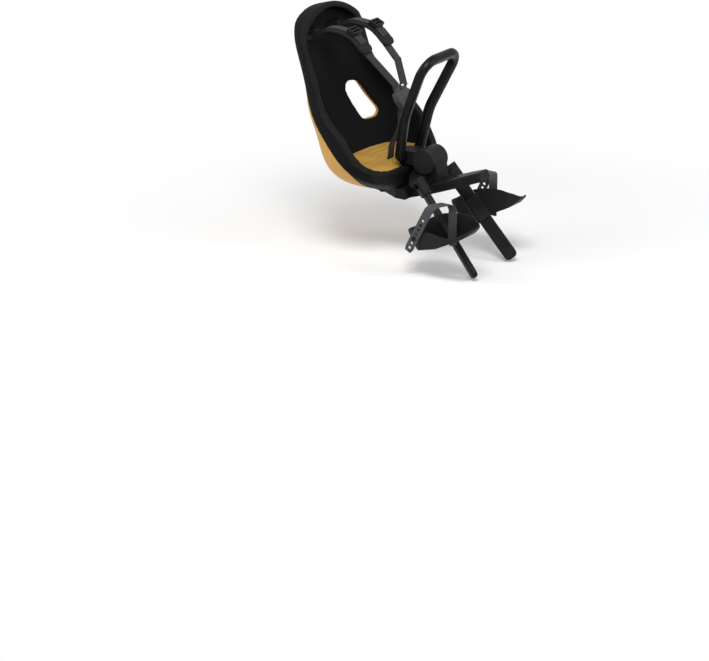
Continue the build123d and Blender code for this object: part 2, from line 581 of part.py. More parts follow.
with BuildPart() as carrier:
    foot = CLAMP_TOP + FIT
    with BuildSketch(Plane.XZ):
        with BuildLine():
            Polyline(
                steer(-TOWER_NOSE, foot),
                (HUB_X + HUB_R, HUB_Z),
                (HUB_X, HUB_Z),
                *TOWER_BACK,
                (CRADLE_PLAN[2][0], TOWER_BACK[-1][1]),
                (CRADLE_PLAN[2][0], CRADLE_LOW),
                (CRADLE_PLAN[-1][0], CRADLE_LOW),
                steer(-CLAMP_REAR - 1, -CLAMP_TOP),
                steer(-CLAMP_REAR - TOWER_HEEL, foot),
                close=True,
            )
        make_face()
        with Locations((HUB_X, HUB_Z)):
            Circle(HUB_R)
    extrude(amount=TOWER_HALF_W, both=True)
    with BuildSketch(Plane.XY.offset(CRADLE_LOW)) as base:
        with BuildLine():
            Polyline(*[(x, -y) for x, y in CRADLE_PLAN], *reversed(CRADLE_PLAN), close=True)
        make_face()
        fillet(base.vertices().sort_by(Axis.X)[:2], CRADLE_ROUND)
    extrude(amount=CRADLE_TOP - CRADLE_LOW)
    add(bucket(SHELL_LEVELS, SHELL_LIP - FIT, SHELL_REAR_POWER, SHELL_FRONT_POWER), mode=Mode.SUBTRACT)
    with BuildSketch(Plane.XY.offset(ARM_LOW)) as arms:
        with BuildLine():
            Polyline(*[(x, -y) for x, y in ARM_ROUTE], *reversed(ARM_ROUTE), close=True)
        make_face()
    extrude(amount=ARM_TOP - ARM_LOW)
    add(stem_sockets.part)
    add(stem_holes.part, mode=Mode.SUBTRACT)
    add(stem_screw_holes.part, mode=Mode.SUBTRACT)
    add(screw_holes.part, mode=Mode.SUBTRACT)
    with BuildSketch(CLAMP.offset(CLAMP_TOP - FIT)):
        with Locations((-TENON_MID, 0)):
            Rectangle(TENON_L + 2 * FIT, 2 * TENON_HALF_W + 2 * FIT)
    extrude(amount=TENON_H + 2 * FIT, mode=Mode.SUBTRACT)
    with BuildSketch(LATCH.offset(-LATCH_T / 2 - SLIDE)):
        shut = lock_edge + LATCH_END + PRESS_TRAVEL + SLIDE
        with Locations((-TENON_MID, (shut - TOWER_HALF_W + PRESS_SEAT) / 2)):
            Rectangle(2 * latch_half + 2 * SLIDE, shut + TOWER_HALF_W - PRESS_SEAT)
    extrude(amount=LATCH_T + 2 * SLIDE, mode=Mode.SUBTRACT)
    with BuildSketch(LATCH.offset(-PRESS_H / 2 - SLIDE)):
        deep = -TOWER_HALF_W + PRESS_SEAT + PRESS_TRAVEL + SLIDE
        with Locations((-TENON_MID, deep - CUT_REACH / 2)):
            Rectangle(PRESS_W + 2 * SLIDE, CUT_REACH)
    extrude(amount=PRESS_H + 2 * SLIDE, mode=Mode.SUBTRACT)
    with BuildSketch(Plane.XZ):
        with Locations((HUB_X, HUB_Z)):
            Circle(AXLE_R + FIT)
    extrude(amount=CUT_REACH, both=True, mode=Mode.SUBTRACT)

with BuildPart() as hub_axle:
    with BuildSketch(Plane.XZ):
        with Locations((HUB_X, HUB_Z)):
            Circle(AXLE_R)
    extrude(amount=TOWER_HALF_W + AXLE_BITE, both=True)

with BuildPart() as hub_cap_right:
    with BuildSketch(Plane.XZ.offset(TOWER_HALF_W)):
        with Locations((HUB_X, HUB_Z)):
            Circle(HUB_R)
    extrude(amount=CAP_T)
    fillet(hub_cap_right.faces().sort_by(Axis.Y)[0].edges(), CAP_EDGE)
    with BuildSketch(Plane.XZ.offset(TOWER_HALF_W)):
        with Locations((HUB_X, HUB_Z)):
            Circle(AXLE_R + FIT)
    extrude(amount=AXLE_BITE + FIT, mode=Mode.SUBTRACT)
with BuildPart() as hub_cap_left:
    mirror(hub_cap_right.part, about=Plane.XZ)

with BuildPart() as safety_loop:
    with BuildLine(Plane.XZ) as ring:
        CenterArc((LOOP_X, CRADLE_LOW), LOOP_R, 180, 180)
    with BuildSketch(Plane(origin=ring.line @ 0, z_dir=ring.line % 0)):
        Circle(LOOP_WIRE_R)
    sweep(path=ring.line)

# Stems with their ladders of pockets
with BuildPart() as stem_right:
    with BuildSketch(STEM_FACE.offset(-STEM_T / 2)) as bar:
        with Locations((STEM_L / 2, 0)):
            Rectangle(STEM_L, STEM_W)
        fillet(bar.vertices().sort_by(Axis.X)[-2:], STEM_TIP_ROUND)
    extrude(amount=STEM_T)
    fillet(stem_right.edges().filter_by(lambda edge: edge.length > STEM_L / 2), STEM_EDGE)
    with BuildSketch(STEM_FACE.offset(STEM_T / 2)):
        with Locations((RUNG_FIRST + RUNG_PITCH * (RUNG_COUNT - 1) / 2, 0)):
            with GridLocations(RUNG_PITCH, RUNG_PITCH, RUNG_COUNT, 1):
                Rectangle(RUNG_SLOT, RUNG_W)
    extrude(amount=-RUNG_DEPTH, mode=Mode.SUBTRACT)
    add(stem_screw_holes.part, mode=Mode.SUBTRACT)
with BuildPart() as stem_left:
    mirror(stem_right.part, about=Plane.XZ)

# Foot cups: a boat form with a high inner wall, a low outer wall and a sleeve round the stem
def cup_form(inset):
    """The cup's block, taller than the cup, drawn in by the inset."""
    with BuildPart() as form:
        with BuildSketch(Plane.XZ) as sole:
            with BuildLine():
                Polyline(*CUP_SOLE, close=True)
            make_face()
            fillet(sole.vertices().filter_by(lambda v: v.Y < CUP_SOLE_LOW), CUP_SOLE_ROUND)
            if inset:
                offset(amount=-inset)
        extrude(amount=CUT_REACH, both=True)
        with BuildSketch(Plane.XY.offset(-CUT_REACH)) as outline:
            with BuildLine():
                Polyline(*[(x, -w) for x, w in CUP_PLAN], close=True)
            make_face()
            fillet(outline.vertices(), CUP_PLAN_ROUND)
            if inset:
                offset(amount=-inset)
        extrude(amount=2 * CUT_REACH, mode=Mode.INTERSECT)
    return form.part


def above_rim(line, first, last):
    """Everything above a cup's rim between two distances from the middle."""
    with BuildPart() as form:
        with BuildSketch(Plane.XZ.offset(first)):
            with BuildLine():
                edge = Spline(*line)
                Polyline(edge @ 1, (line[-1][0], CUT_REACH), (line[0][0], CUT_REACH), edge @ 0)
            make_face()
        extrude(amount=last - first)
    return form.part


# Foot strap: a rubber band that keeps its width along the foot while it winds over it
tail = Vector(*FOOT_ROUTE[-1])
tail_up = (Vector(*FOOT_ROUTE[-2]) - tail).normalized()
tail_out = Vector(0, -tail_up.Z, tail_up.Y).normalized()
TAIL = Plane(origin=tail, x_dir=tail_up, z_dir=tail_out)
with BuildLine() as winding:
    FilletPolyline(*FOOT_ROUTE, radius=FOOT_BENDS)
with BuildPart() as foot_strap:
    for station in range(FOOT_STATIONS + 1):
        place = winding.wire().position_at(station / FOOT_STATIONS)
        way = winding.wire().tangent_at(station / FOOT_STATIONS)
        fore = (Vector(1, 0, 0) - way * way.X).normalized()
        width = FOOT_TAIL_W if station == FOOT_STATIONS else FOOT_BAND_W
        with BuildSketch(Plane(origin=place, x_dir=fore, z_dir=way)):
            Rectangle(width, FOOT_BAND_T)
    loft(ruled=True)
    with BuildSketch(TAIL.offset(-HOLE_CUT)):
        with Locations((HOLE_FIRST + HOLE_PITCH * (HOLE_COUNT - 1) / 2, 0)):
            with GridLocations(HOLE_PITCH, HOLE_PITCH, HOLE_COUNT, 1):
                Circle(HOLE_R)
    extrude(amount=2 * HOLE_CUT, mode=Mode.SUBTRACT)

PEG = Plane(origin=tail + tail_up * (HOLE_FIRST + HOLE_PITCH * PEG_HOLE), x_dir=tail_up, z_dir=tail_out)
head = FOOT_BAND_T / 2 + FIT
with BuildPart() as strap_peg:
    with BuildSketch(PEG.offset(-PEG_REACH)):
        Circle(PEG_R)
    extrude(amount=PEG_REACH + head)
    with BuildSketch(PEG.offset(head)):
        Circle(PEG_HEAD_R)
    extrude(amount=PEG_HEAD_T)

with BuildPart() as foot_cup:
    add(cup_form(0))
    add(cup_form(CUP_WALL), mode=Mode.SUBTRACT)
    add(above_rim(CUP_INNER_RIM, 0, CUT_REACH), mode=Mode.SUBTRACT)
    add(above_rim(CUP_OUTER_RIM, CUP_SCOOP, CUT_REACH), mode=Mode.SUBTRACT)
    with BuildSketch(STEM.offset(SLEEVE_AT)):
        side = 2 * SLIDE + 2 * SLEEVE_WALL
        RectangleRounded(STEM_T + side, STEM_W + side, STEM_EDGE + SLEEVE_WALL)
    extrude(amount=SLEEVE_L)
    with BuildSketch(STEM.offset(0)):
        RectangleRounded(STEM_T + 2 * SLIDE, STEM_W + 2 * SLIDE, STEM_EDGE)
    extrude(amount=STEM_L + CUT_REACH, mode=Mode.SUBTRACT)
    with BuildSketch(PEG.offset(-PEG_REACH)):
        Circle(PEG_R)
    extrude(amount=PEG_REACH, mode=Mode.SUBTRACT)
    root = Vector(*FOOT_ROUTE[0])
    with BuildSketch(Plane.XY.offset(root.Z)):
        with Locations((root.X, root.Y)):
            Rectangle(FOOT_BAND_W + 2 * FIT, FOOT_BAND_T + 2 * FIT)
    extrude(amount=CUP_SLOT_H, mode=Mode.SUBTRACT)

# Each foot rest stands on a rung of its own, the left one higher
right_set, left_set = Location(STEM_DOWN * RIGHT_DROP), Location(STEM_DOWN * LEFT_DROP)
with BuildPart() as foot_cup_right:
    add(foot_cup.part.moved(right_set))
with BuildPart() as foot_strap_right:
    add(foot_strap.part.moved(right_set))
with BuildPart() as strap_peg_right:
    add(strap_peg.part.moved(right_set))
with BuildPart() as foot_cup_left:
    mirror(foot_cup.part.moved(left_set), about=Plane.XZ)
with BuildPart() as foot_strap_left:
    mirror(foot_strap.part.moved(left_set), about=Plane.XZ)
with BuildPart() as strap_peg_left:
    mirror(strap_peg.part.moved(left_set), about=Plane.XZ)

# Harness: bezels in the backrest, shoulder pads and webbing, buckle and crotch strap
with BuildPart() as slot_bezel_right:
    with BuildSketch(Plane.YZ.offset(BEZEL_BACK)):
        with Locations((-HARNESS_Y, SLOT_Z)):
            RectangleRounded(BEZEL_W, BEZEL_H, BEZEL_ROUND)
            Rectangle(SLOT_W, SLOT_H, mode=Mode.SUBTRACT)
    extrude(amount=BEZEL_FRONT - BEZEL_BACK)
with BuildPart() as slot_bezel_left:
    mirror(slot_bezel_right.part, about=Plane.XZ)

SHOULDER = Plane.XZ.offset(HARNESS_Y)
with BuildPart() as shoulder_pad_right:
    add(band(SHOULDER, PADDLE_W, PADDLE_T, PADDLE, PADDLE_BENDS))
    ends = shoulder_pad_right.edges().filter_by(lambda edge: abs(edge.length - PADDLE_T) < 0.01)
    fillet(ends.sort_by(Axis.X)[-2:], PADDLE_ROUND)
with BuildPart() as shoulder_pad_left:
    mirror(shoulder_pad_right.part, about=Plane.XZ)

# The webbing leaves its slot, lies on the shoulder pad and ends past the adjuster
rise = PADDLE_T + FIT
above = beside(PADDLE, rise)
slot_low = SLOT_Z - STRAP_T / 2
sewn_end = between(above[2], above[3], TAIL_SHARE)
lay = [(BEZEL_BACK - SLOT_DEPTH / 2, slot_low), (BEZEL_FRONT, slot_low), *above[1:3], sewn_end]
with BuildPart() as shoulder_strap_right:
    add(band(SHOULDER, STRAP_W, STRAP_T, lay, [SLOT_BEND, *[bend + rise for bend in PADDLE_BENDS]]))
with BuildPart() as shoulder_strap_left:
    mirror(shoulder_strap_right.part, about=Plane.XZ)

# Adjuster: a ladder frame that bears on the webbing where the pad bends down
over = beside(PADDLE, rise + STRAP_T + FIT)
fore, aft = direction(over[1], over[2]), direction(over[2], over[3])
level = (fore + aft).normalized()
bend_r = PADDLE_BENDS[1] + rise + STRAP_T + FIT
drop = bend_r / math.cos(fore.get_angle(aft) * math.pi / 360) - bend_r
seat = Vector(*over[2], 0) - Vector(-level.Y, level.X, 0) * drop
LADDER = Plane(
    origin=(seat.X, -HARNESS_Y, seat.Y),
    x_dir=(level.X, 0, level.Y),
    z_dir=(-level.Y, 0, level.X),
)
with BuildPart() as strap_adjuster_right:
    with BuildSketch(LADDER):
        RectangleRounded(ADJUSTER_L, ADJUSTER_W, ADJUSTER_BAR / 2)
        with GridLocations((ADJUSTER_L - ADJUSTER_BAR) / 2, 1, 2, 1):
            opening = (ADJUSTER_L - 3 * ADJUSTER_BAR) / 2
            Rectangle(opening, ADJUSTER_W - 2 * ADJUSTER_BAR, mode=Mode.SUBTRACT)
    extrude(amount=ADJUSTER_H)
with BuildPart() as strap_adjuster_left:
    mirror(strap_adjuster_right.part, about=Plane.XZ)

# Buckle: a body with two tongues pushed in from above and a press button in front
lean = math.radians(BUCKLE_LEAN)
BUCKLE = Plane(origin=(BUCKLE_X, 0, BUCKLE_Z), x_dir=(0, 1, 0), z_dir=(math.cos(lean), 0, math.sin(lean)))
with BuildPart() as buckle_body:
    with BuildSketch(BUCKLE.offset(-BUCKLE_T / 2)) as shield:
        with BuildLine():
            waist, foot = (-BUCKLE_TOP_W / 2, 0), (-BUCKLE_LOW_W / 2, -BUCKLE_L / 2)
            right = [(-BUCKLE_TOP_W / 2, BUCKLE_L / 2), waist, foot]
            Polyline(*right, *[(-x, y) for x, y in reversed(right)], close=True)
        make_face()
        fillet(shield.vertices(), BUCKLE_ROUND)
    extrude(amount=BUCKLE_T)
    chamfer(buckle_body.faces().sort_by(Axis((0, 0, 0), BUCKLE.z_dir))[-1].edges(), BUCKLE_BEVEL)
    with BuildSketch(BUCKLE.offset(BUCKLE_T / 2 - PUSH_DEPTH - PUSH_TRAVEL)):
        with Locations((0, PUSH_Y)):
            Rectangle(PUSH_W + 2 * SLIDE, PUSH_L + 2 * SLIDE)
    extrude(amount=PUSH_DEPTH + PUSH_TRAVEL, mode=Mode.SUBTRACT)
    with BuildSketch(BUCKLE.offset(-TONGUE_T / 2 - FIT)):
        with Locations((TONGUE_X, BUCKLE_L / 2), (-TONGUE_X, BUCKLE_L / 2)):
            Rectangle(TONGUE_W + 2 * FIT, 2 * TONGUE_BITE + 2 * FIT)
    extrude(amount=TONGUE_T + 2 * FIT, mode=Mode.SUBTRACT)

with BuildPart() as buckle_button:
    with BuildSketch(BUCKLE.offset(BUCKLE_T / 2 - PUSH_DEPTH)):
        with Locations((0, PUSH_Y)):
            Rectangle(PUSH_W, PUSH_L)
    extrude(amount=PUSH_DEPTH + PUSH_PROUD)

bar_y = BUCKLE_L / 2 + TONGUE_OUT - TONGUE_BAR - TONGUE_SLOT_H / 2
with BuildPart() as buckle_tongue_right:
    with BuildSketch(BUCKLE.offset(-TONGUE_T / 2)) as blade:
        with Locations((-TONGUE_X, BUCKLE_L / 2 + (TONGUE_OUT - TONGUE_BITE) / 2)):
            RectangleRounded(TONGUE_W, TONGUE_OUT + TONGUE_BITE, TONGUE_BAR)
        with Locations((-TONGUE_X, bar_y)):
            Rectangle(TONGUE_W - 2 * TONGUE_BAR, TONGUE_SLOT_H, mode=Mode.SUBTRACT)
    extrude(amount=TONGUE_T)
with BuildPart() as buckle_tongue_left:
    mirror(buckle_tongue_right.part, about=Plane.XZ)

# Chest webbing: doubled from under the shoulder pad to its sewn end, then single to the tongue
under = beside(PADDLE, -FIT - SEWN_T / 2)
root = between(under[2], under[3], CHEST_SHARE)
lap = BUCKLE.from_local_coords((-TONGUE_X, bar_y, TONGUE_T / 2 + FIT + SLIDE + STRAP_T / 2))
sewn = Vector(*SEWN)
with BuildPart() as chest_strap_right:
    add(run((root[0], -HARNESS_Y, root[1]), sewn, STRAP_W, SEWN_T))
    add(run(sewn, lap, STRAP_W, STRAP_T))
    add(buckle_tongue_right.part, mode=Mode.SUBTRACT)
with BuildPart() as chest_strap_left:
    mirror(chest_strap_right.part, about=Plane.XZ)

top = BUCKLE.from_local_coords((0, -BUCKLE_L / 2 - STRAP_T, 0))
with BuildPart() as crotch_strap:
    add(band(Plane.XZ, STRAP_W, STRAP_T, [(top.X, top.Z), *CROTCH], CROTCH_BENDS))

pieces = {
    "outer_shell": outer_shell,
    "foam_liner": foam_liner,
    "seat_pad": seat_pad,
    "base_screws": base_screws,
    "slot_bezel_right": slot_bezel_right,
    "slot_bezel_left": slot_bezel_left,
    "shoulder_pad_right": shoulder_pad_right,
    "shoulder_pad_left": shoulder_pad_left,
    "shoulder_strap_right": shoulder_strap_right,
    "shoulder_strap_left": shoulder_strap_left,
    "strap_adjuster_right": strap_adjuster_right,
    "strap_adjuster_left": strap_adjuster_left,
    "chest_strap_right": chest_strap_right,
    "chest_strap_left": chest_strap_left,
    "buckle_body": buckle_body,
    "buckle_button": buckle_button,
    "buckle_tongue_right": buckle_tongue_right,
    "buckle_tongue_left": buckle_tongue_left,
    "crotch_strap": crotch_strap,
    "pommel": pommel,
    "handle_bar": handle_bar,
    "carrier": carrier,
    "hub_axle": hub_axle,
    "hub_cap_right": hub_cap_right,
    "hub_cap_left": hub_cap_left,
    "safety_loop": safety_loop,
    "steerer_bracket": steerer_bracket,
    "bracket_jaw": bracket_jaw,
    "clamp_bolts": clamp_bolts,
    "release_button": release_button,
    "stem_right": stem_right,
    "stem_left": stem_left,
    "stem_screws": stem_screws,
    "foot_cup_right": foot_cup_right,
    "foot_cup_left": foot_cup_left,
    "foot_strap_right": foot_strap_right,
    "foot_strap_left": foot_strap_left,
    "strap_peg_right": strap_peg_right,
    "strap_peg_left": strap_peg_left,
}
for name, piece in pieces.items():
    piece.part.label = name
    export_step(piece.part, f"parts/{name}.step")
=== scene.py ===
"""Front-mounted child seat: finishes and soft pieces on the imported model, in metres."""

import json
import math

import bmesh
import bpy
from mathutils import Matrix, Vector
from mathutils.kdtree import KDTree


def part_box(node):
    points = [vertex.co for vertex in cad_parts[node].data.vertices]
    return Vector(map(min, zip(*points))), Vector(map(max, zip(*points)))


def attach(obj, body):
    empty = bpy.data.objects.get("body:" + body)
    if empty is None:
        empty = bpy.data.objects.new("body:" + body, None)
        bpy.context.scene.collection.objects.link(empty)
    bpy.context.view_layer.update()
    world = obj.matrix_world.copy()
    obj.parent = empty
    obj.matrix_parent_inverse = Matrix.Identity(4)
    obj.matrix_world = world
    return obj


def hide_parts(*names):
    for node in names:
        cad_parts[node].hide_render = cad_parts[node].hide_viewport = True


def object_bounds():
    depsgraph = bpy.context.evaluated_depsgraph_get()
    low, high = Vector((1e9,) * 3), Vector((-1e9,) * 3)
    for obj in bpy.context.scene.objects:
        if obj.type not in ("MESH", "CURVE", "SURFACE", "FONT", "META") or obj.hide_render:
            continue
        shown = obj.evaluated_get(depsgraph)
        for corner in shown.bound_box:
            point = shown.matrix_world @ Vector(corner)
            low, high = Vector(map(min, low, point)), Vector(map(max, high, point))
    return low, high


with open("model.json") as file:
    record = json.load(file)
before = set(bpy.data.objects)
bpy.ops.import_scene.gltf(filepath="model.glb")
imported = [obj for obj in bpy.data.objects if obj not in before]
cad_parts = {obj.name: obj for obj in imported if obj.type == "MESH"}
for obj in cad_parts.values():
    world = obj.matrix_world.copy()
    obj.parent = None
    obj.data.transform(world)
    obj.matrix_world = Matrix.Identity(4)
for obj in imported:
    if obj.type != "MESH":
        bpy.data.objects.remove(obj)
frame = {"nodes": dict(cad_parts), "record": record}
cad_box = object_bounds()

# Camera: fitted to the photograph, whose frame is 709 by 661 pixels
CAMERA_PLACE = (3.47494, -5.71620, 2.08130)
CAMERA_YAW = 2.149684
CAMERA_PITCH = -0.349609
CAMERA_ROLL = 0.009618
FOCAL_PIXELS = 3111.31
FRAME_WIDTH = 709
SENSOR = 36.0

# Colours, linear
SHELL_YELLOW = (0.520, 0.282, 0.052)
PAD_YELLOW = (0.560, 0.315, 0.058)
LINER_BLACK = (0.0052, 0.0052, 0.0055)
RIM_BLACK = (0.0105, 0.0107, 0.0112)
WEBBING_GREY = (0.020, 0.020, 0.021)
THREAD_GREY = (0.060, 0.060, 0.062)
PADDLE_GREY = (0.0145, 0.0145, 0.0153)
PLASTIC_BLACK = (0.0082, 0.0082, 0.0090)
CUP_BLACK = (0.0125, 0.0125, 0.0135)
GRIP_BLACK = (0.0055, 0.0055, 0.0058)
BUCKLE_GREY = (0.046, 0.049, 0.053)
STRAP_GREY = (0.050, 0.054, 0.058)
STEEL_GREY = (0.22, 0.22, 0.23)
FLOOR_WHITE = (0.90, 0.90, 0.90, 1.0)
WHITE = (1.0, 1.0, 1.0, 1.0)

# Copies of CAD solids: how they are merged, remeshed and worn round
MERGE = 0.00001
WEAR = 0.5
PAD_VOXEL, PAD_ROUNDS = 0.004, 3
PADDLE_VOXEL, PADDLE_ROUNDS = 0.0026, 5
LINER_VOXEL, LINER_ROUNDS = 0.003, 7
BAND_VOXEL, BAND_ROUNDS = 0.0011, 5
CUP_VOXEL, CUP_ROUNDS = 0.0013, 4

# Stuffing of the pads: steps of the cloth, its pressure, and how far a point may move
STUFFING_STEPS = 20
PAD_PRESSURE, PAD_SWELL = 4.0, 0.004
PADDLE_PRESSURE, PADDLE_SWELL = 3.0, 0.0014
PADDLE_GROOVE = 0.002  # held strip on each side of the webbing

# Seat pad: a sewn hem round it, wandering folds across it
PAD_HEM = 0.0075
HEM_BREADTH = (0.0012, 0.0042)
PAD_FOLDS = (-0.238, -0.219, -0.199, -0.178)
FOLD_BREADTH = (0.001, 0.006)
FOLD_WAVES = ((0.004, 31.0), (0.002, 83.0))  # reach, and radians by the metre of width
FOLD_FADE = (0.006, 0.014)  # from the pad's edge inwards
FOLD_SHARE = 0.85  # of the hem's depth
PAD_STITCH_DEPTH = 0.0026
PAD_HELD = 0.7  # share of the hem's depth from which a point is held
PAD_TOP = 0.75  # a normal that rises more than this lies on the top
PAD_SKIN = 0.0004

# Webbing: its width, where its woven edges lie across it, and its routes on the right side
WEB_WIDTH = 0.025
WEB_EDGES = (-1.0, -0.9, -0.3, 0.3, 0.9, 1.0)
WEB_THICKNESS = 0.002
DOUBLED_THICKNESS = 0.0038
WEB_SUBDIVISION = 2
END_SHARE = 0.04  # of the first and last stretch, to keep the ends square
BEND_STEP = 0.10
HARNESS_Y = 0.045
SHOULDER_ROUTE = (
    (-0.3715, 0.300), (-0.351, 0.300), (-0.3021, 0.3274), (-0.2401, 0.3219), (-0.2142, 0.2985),
)
SHOULDER_BENDS = (0.009, 0.069, 0.069)
TUCK = 0.009
CHEST_ROOT = (-0.2246, -0.045, 0.2927)
CHEST_SEWN = (-0.176, -0.038, 0.249)
CHEST_END = (-0.1436, -0.0135, 0.2027)
CROTCH_ROUTE = ((-0.1434, 0.1510), (-0.1400, 0.1118), (-0.1650, 0.0622), (-0.1690, 0.0140))
CROTCH_BENDS = (0.06, 0.06)

# Stitches on the sewn end: the rows' distances from it, and the size of a stitch
STITCH_ROWS = (0.0025, 0.0065, 0.0105)
STITCH_REACH = 0.0105
STITCH_COUNT = 8
STITCH_SHARE = 0.36
STITCH_HALF_WIDTH, STITCH_HALF_HEIGHT = 0.0005, 0.0004

# Bucket, by height: the rim's line in side view, half the width along its crease, the front flange
RIM_LINE = (
    (0.029, -0.120), (0.050, -0.150), (0.100, -0.188), (0.150, -0.243),
    (0.228, -0.298), (0.310, -0.326), (0.392, -0.345),
)
RIM_BREADTH = (0.006, 0.013)
CREASE_LINE = (
    (0.034, 0.141), (0.100, 0.158), (0.119, 0.159), (0.149, 0.151),
    (0.200, 0.132), (0.261, 0.127), (0.304, 0.113),
)
CREASE_BREADTH = (0.0004, 0.0026)
CREASE_TOP = (0.285, 0.302)
FLANGE_LINE = ((-0.036, -0.150), (0.020, -0.172), (0.060, -0.200), (0.110, -0.252), (0.155, -0.294))
FLANGE_BLUR = 0.0008

# Hip wings of the bucket: the line they start from in side view, and where they fade out
WING_LOW, WING_HIGH = (-0.275, 0.028), (-0.228, 0.125)
WING_PROUD = 0.005
WING_START, WING_FADE = (-0.004, 0.006), (0.02, 0.07)
WING_BASE, WING_TOP = (0.034, 0.05), (0.095, 0.135)
WING_FACING = (0.1, 0.4)

# Grain of the finishes: patches, beads and fuzz by the metre, weaves and depths in metres
PATCHES = 14.0
FOAM_PATCHES = 9.0
CLOTH_PATCHES = 17.0
FOAM_BEADS = 620.0
FINE_GRAIN = 1500.0
FOAM_SPECK = (0.52, 0.7)
CLOTH_FUZZ = 1400.0
WEB_FUZZ = 900.0
DRAWN_LINES = 600.0
LOOP_LENGTH, LOOP_WIDTH = 0.0014, 0.0012
WEFT, WARP = 0.0019, 0.0031
SELVAGE = (0.0105, 0.0112)
SHELL_DEPTH, FOAM_DEPTH, KNIT_DEPTH, WEB_DEPTH = 0.0002, 0.0005, 0.0004, 0.0005

# Studio
FLOOR_SIZE = 14.0
FLOOR_GAP = 0.004
FLOOR_GLOW = (0.35, 1.1)  # distances at which the floor starts to turn white and is white
SURROUND_LIGHT = 0.36
WHITE_FOR = ("Is Camera Ray", "Is Glossy Ray", "Is Transmission Ray")
LAMPS = (  # name, place from the seat's middle, size, power
    ("key", (0.9, -1.5, 2.2), 1.2, 62.0),
    ("side", (-1.8, -1.2, 1.2), 1.0, 20.0),
    ("front", (2.2, 0.6, 1.0), 1.0, 22.0),
)


class Signal:
    """One output of a node, so that shader maths reads as Python."""

    def __init__(self, nodes, socket):
        self.nodes = nodes
        self.socket = socket

    def math(self, operation, *values):
        return self.nodes.node("ShaderNodeMath", {"operation": operation}, dict(enumerate(values)))

    def __add__(self, other):
        return self.math("ADD", self, other)

    def __sub__(self, other):
        return self.math("SUBTRACT", self, other)

    def __rsub__(self, other):
        return self.math("SUBTRACT", other, self)

    def __mul__(self, other):
        return self.math("MULTIPLY", self, other)

    def __abs__(self):
        return self.math("ABSOLUTE", self)

    __radd__ = __add__
    __rmul__ = __mul__

    def sine(self, pitch):
        """A wave that repeats after each pitch."""
        return self.math("SINE", self * (2 * math.pi / pitch))

    def rise(self, low, high):
        """Goes smoothly from 0 to 1 between two values."""
        sockets = {"Value": self, "From Min": low, "From Max": high}
        return self.nodes.node("ShaderNodeMapRange", {"interpolation_type": "SMOOTHSTEP"}, sockets)

    def along(self, line):
        """Follows a line of (value, height) corners."""
        straight = {"interpolation_type": "LINEAR"}
        height = line[0][1]
        for (before, low), (after, high) in zip(line, line[1:]):
            sockets = {"Value": self, "From Min": before, "From Max": after}
            sockets |= {"To Min": 0.0, "To Max": high - low}
            height = self.nodes.node("ShaderNodeMapRange", straight, sockets) + height
        return height


class Nodes:
    """A node tree, and the one method that adds nodes to it."""

    def __init__(self, tree):
        self.tree = tree

    def node(self, kind, settings=None, inputs=None, output=0):
        """Adds a node, with its settings first and then the values or links of its sockets."""
        made = self.tree.nodes.new(kind)
        for name, value in (settings or {}).items():
            setattr(made, name, value)
        for name, value in (inputs or {}).items():
            if isinstance(value, Signal):
                self.tree.links.new(value.socket, made.inputs[name])
            else:
                made.inputs[name].default_value = value
        return Signal(self, made.outputs[output])

    def white_rays(self):
        """1 for the rays that are to meet plain white."""
        first, *others = [self.node("ShaderNodeLightPath", output=kind) for kind in WHITE_FOR]
        return sum(others, first)

    def show(self, end, share, first, second):
        """Shows a mix of two shaders at the tree's end."""
        surface = self.node("ShaderNodeMixShader", None, {0: share, 1: first, 2: second})
        self.tree.links.new(surface.socket, self.tree.nodes[end].inputs["Surface"])


class Finish(Nodes):
    """One material, and the signals that its surface is made from."""

    def __init__(self, name, roughness, specular=0.15, sheen=0.0, coordinates="Object"):
        self.material = bpy.data.materials.new(name)
        self.material.use_nodes = True
        super().__init__(self.material.node_tree)
        self.shader = self.tree.nodes["Principled BSDF"]
        self.shader.inputs["Roughness"].default_value = roughness
        self.shader.inputs["Specular IOR Level"].default_value = specular
        self.shader.inputs["Sheen Weight"].default_value = sheen
        self.place = self.node("ShaderNodeTexCoord", output=coordinates)

    def axis(self, number):
        """One of the place's three coordinates."""
        return self.node("ShaderNodeSeparateXYZ", None, {0: self.place}, output=number)

    def noise(self, scale, detail=2.0, roughness=0.5):
        sockets = {"Vector": self.place, "Scale": scale, "Detail": detail, "Roughness": roughness}
        return self.node("ShaderNodeTexNoise", None, sockets)

    def cells(self, scale):
        """Distance from the middle of scattered cells."""
        return self.node("ShaderNodeTexVoronoi", None, {"Vector": self.place, "Scale": scale})

    def blend(self, share, first, second):
        """Goes from one colour to another."""
        sockets = {0: share}
        for socket, colour in ((6, first), (7, second)):
            sockets[socket] = colour if isinstance(colour, Signal) else (*colour, 1.0)
        return self.node("ShaderNodeMix", {"data_type": "RGBA"}, sockets, output=2)

    def vary(self, share, colour, dark, light):
        """Goes from a darker version of a colour to a lighter one."""
        return self.blend(share, shade(colour, dark), shade(colour, light))

    def grain(self, height, depth):
        """Bumps the surface by a height."""
        sockets = {"Height": height, "Distance": depth, "Strength": 1.0}
        self.feed("Normal", self.node("ShaderNodeBump", None, sockets))

    def feed(self, socket, signal):
        self.tree.links.new(signal.socket, self.shader.inputs[socket])


def shade(colour, share):
    """A darker or lighter version of a colour."""
    return tuple(min(part * share, 1.0) for part in colour)


def moulded(name, colour, roughness, specular, pebble, depth):
    """Moulded plastic or rubber with a fine pebbled skin."""
    finish = Finish(name, roughness, specular)
    patches = finish.noise(PATCHES, detail=3.0)
    finish.feed("Base Color", finish.vary(patches, colour, dark=0.86, light=1.14))
    finish.feed("Roughness", patches * 0.16 + (roughness - 0.08))
    finish.grain(finish.noise(pebble, roughness=0.6), depth)
    return finish.material


